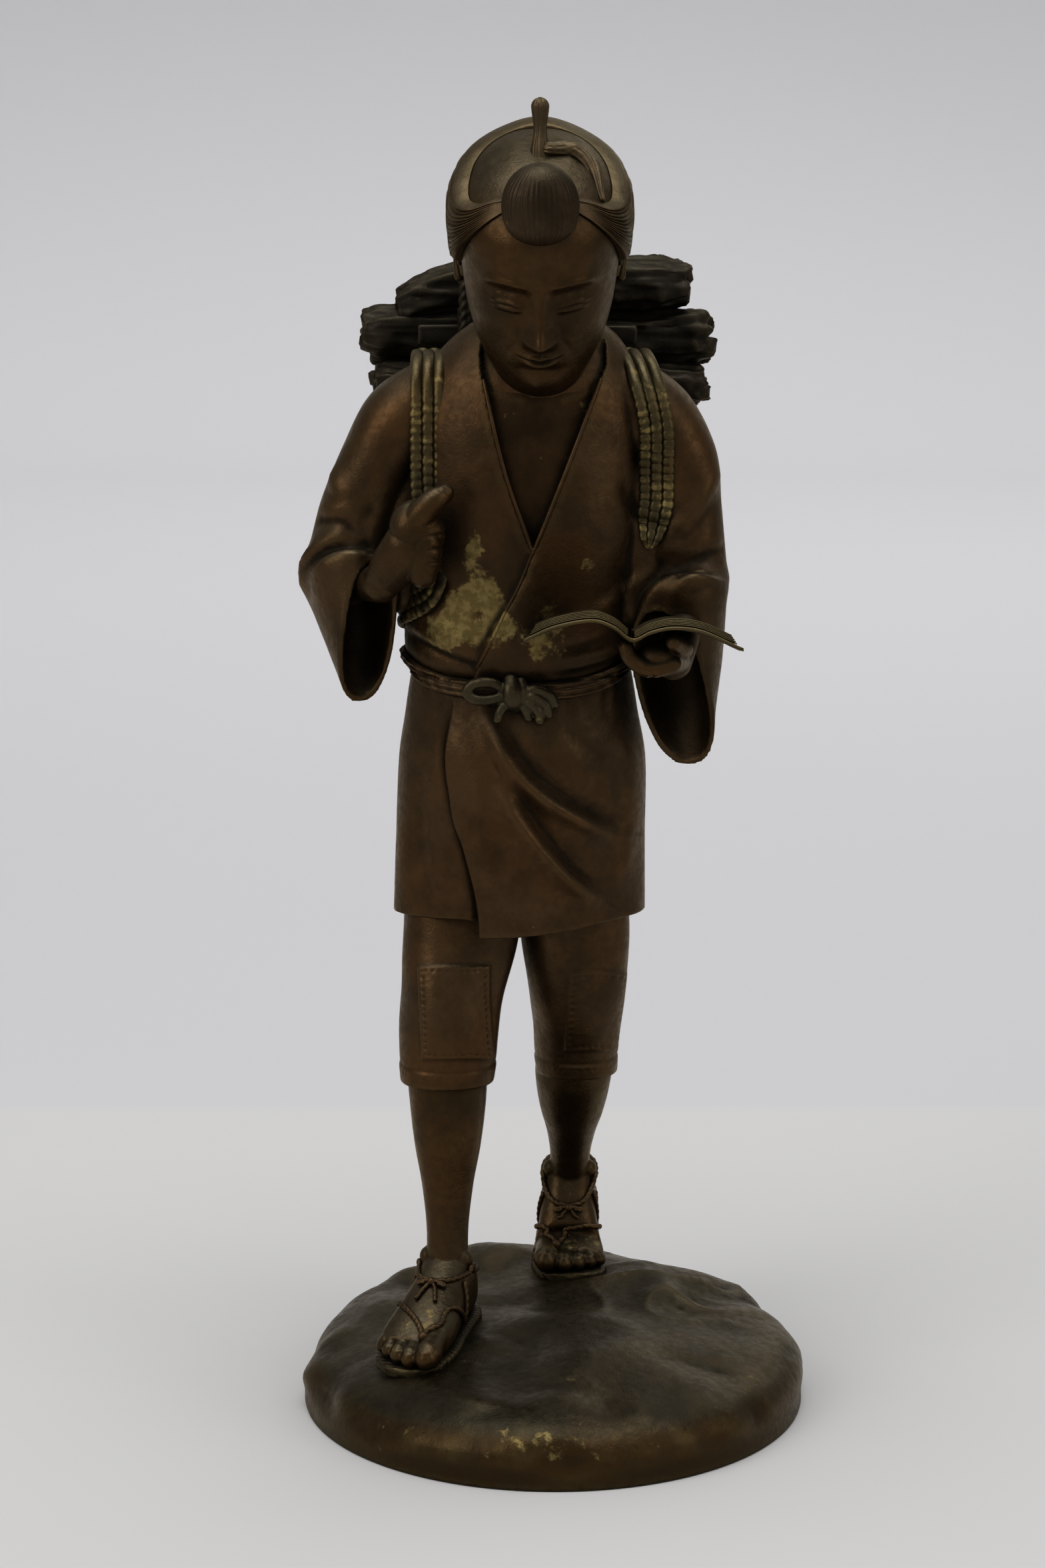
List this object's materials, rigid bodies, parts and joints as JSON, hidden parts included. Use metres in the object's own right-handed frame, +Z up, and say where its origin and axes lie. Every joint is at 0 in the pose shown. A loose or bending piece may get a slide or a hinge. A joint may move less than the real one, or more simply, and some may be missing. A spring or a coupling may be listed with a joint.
{
  "type": "bronze figure",
  "caption": "Cast bronze display figure of a walking youth reading an open book, with a load of firewood tied to a carrying frame on the back, standing on an oval mound",
  "frame": {"origin": "centre of the oval underside of the mound, on the surface it stands on", "axes": "+Z up, figure faces -Y, +X toward the figure's left hand"},
  "size_m": [0.155, 0.168, 0.402],
  "materials": {
    "moss_bronze": "olive brown patina, cast texture",
    "bolt_brass": "turned brass",
    "worn_brass": "patina worn through to gilt brass",
    "skin_bronze": "brown patina, rubbed smooth",
    "bronze": "brown patina, satin",
    "dark_bronze": "near-black patina, satin"
  },
  "bodies": {
    "root": {"base_mound": "moss_bronze", "right_foot_stud": "bolt_brass", "right_foot_washer": "bolt_brass", "right_foot_nut": "bolt_brass", "left_foot_stud": "bolt_brass", "left_foot_washer": "bolt_brass", "left_foot_nut": "bolt_brass", "right_sandal": "worn_brass", "left_sandal": "worn_brass", "right_leg": "skin_bronze", "left_leg": "skin_bronze", "right_sandal_thong": "worn_brass", "left_sandal_thong": "worn_brass", "right_ankle_tie": "worn_brass", "left_ankle_tie": "worn_brass", "right_trouser_leg": "bronze", "left_trouser_leg": "bronze", "hip_core": "dark_bronze", "coat_skirt": "bronze", "coat_body": "bronze", "right_sleeve": "bronze", "left_sleeve": "bronze", "chest": "skin_bronze", "sash": "bronze", "sash_knot": "worn_brass", "head": "skin_bronze", "hair": "dark_bronze", "topknot": "dark_bronze", "queue": "dark_bronze", "side_lock": "dark_bronze", "book_cover": "dark_bronze", "book_leaves_right": "bronze", "book_leaves_left": "bronze", "right_strap": "worn_brass", "left_strap": "worn_brass", "right_hand": "skin_bronze", "left_hand": "skin_bronze", "frame_rail_top": "dark_bronze", "frame_rail_middle": "dark_bronze", "frame_rail_bottom": "dark_bronze", "frame_post_right": "dark_bronze", "frame_post_left": "dark_bronze", "load_screw_upper": "bolt_brass", "load_screw_lower": "bolt_brass", "firewood_01": "dark_bronze", "firewood_02": "dark_bronze", "firewood_03": "dark_bronze", "firewood_04": "dark_bronze", "firewood_05": "dark_bronze", "firewood_06": "dark_bronze", "firewood_07": "dark_bronze", "firewood_08": "dark_bronze", "firewood_09": "dark_bronze", "firewood_10": "dark_bronze", "firewood_11": "dark_bronze", "firewood_12": "dark_bronze", "binding_rope_right": "dark_bronze", "binding_rope_left": "dark_bronze"}
  },
  "joints": []
}
